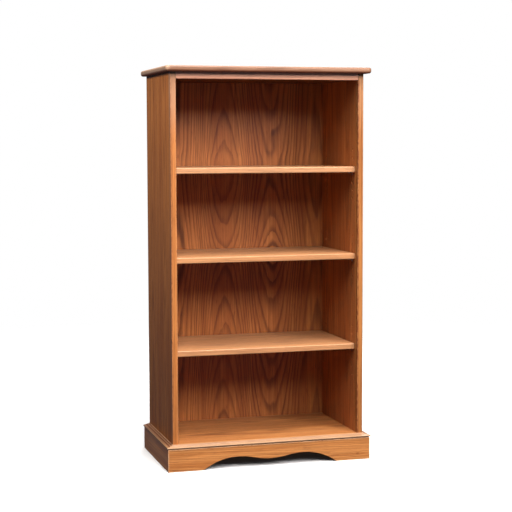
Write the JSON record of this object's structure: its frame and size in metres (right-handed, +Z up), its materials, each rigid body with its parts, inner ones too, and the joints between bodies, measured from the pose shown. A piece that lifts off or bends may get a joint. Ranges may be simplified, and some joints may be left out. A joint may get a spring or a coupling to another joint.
{
  "type": "bookcase",
  "caption": "Tall free-standing stained-oak bookcase: open bays, adjustable shelves on pins, overhanging top and a moulded base with a scalloped front.",
  "frame": {"origin": "on the floor, under the middle of the whole object's box", "axes": "+Z up, the open front faces -Y, +X to the right of someone facing the front"},
  "size_m": [0.652, 0.37, 1.219],
  "materials": {
    "solid_oak": "honey stain, satin lacquer",
    "oak_veneer": "honey stain, satin lacquer",
    "oak_back": "honey stain, satin lacquer",
    "softwood": "planed, unfinished",
    "steel": "zinc-plated"
  },
  "bodies": {
    "case": {"top_board": "solid_oak", "sub_top": "oak_veneer", "top_front_rail": "solid_oak", "left_side": "oak_veneer", "right_side": "oak_veneer", "left_side_edging": "solid_oak", "right_side_edging": "solid_oak", "bottom_panel": "oak_veneer", "bottom_edging": "solid_oak", "back_panel": "oak_back", "front_apron": "solid_oak", "left_apron": "solid_oak", "right_apron": "solid_oak", "front_base_cap": "solid_oak", "left_base_cap": "solid_oak", "right_base_cap": "solid_oak", "rear_base_rail": "softwood", "base_corner_blocks": "softwood", "top_screws": "steel", "base_screws": "steel", "back_nails": "steel"},
    "upper_pin_set": {"upper_shelf_pins": "steel"},
    "upper_shelf": {"upper_shelf_panel": "oak_veneer", "upper_shelf_edging": "solid_oak"},
    "middle_pin_set": {"middle_shelf_pins": "steel"},
    "middle_shelf": {"middle_shelf_panel": "oak_veneer", "middle_shelf_edging": "solid_oak"},
    "lower_pin_set": {"lower_shelf_pins": "steel"},
    "lower_shelf": {"lower_shelf_panel": "oak_veneer", "lower_shelf_edging": "solid_oak"}
  },
  "joints": [
    {"name": "upper_shelf_height", "type": "slide", "parent": "case", "child": "upper_pin_set", "axis": [0, 0, 1], "range_m": [-0.0762, 0.0762]},
    {"name": "upper_shelf_draw", "type": "slide", "parent": "upper_pin_set", "child": "upper_shelf", "axis": [0, -1, 0], "range_m": [-0.003, 0.035]},
    {"name": "middle_shelf_height", "type": "slide", "parent": "case", "child": "middle_pin_set", "axis": [0, 0, 1], "range_m": [-0.0762, 0.0762]},
    {"name": "middle_shelf_draw", "type": "slide", "parent": "middle_pin_set", "child": "middle_shelf", "axis": [0, -1, 0], "range_m": [-0.003, 0.035]},
    {"name": "lower_shelf_height", "type": "slide", "parent": "case", "child": "lower_pin_set", "axis": [0, 0, 1], "range_m": [-0.0762, 0.0762]},
    {"name": "lower_shelf_draw", "type": "slide", "parent": "lower_pin_set", "child": "lower_shelf", "axis": [0, -1, 0], "range_m": [-0.003, 0.035]}
  ]
}
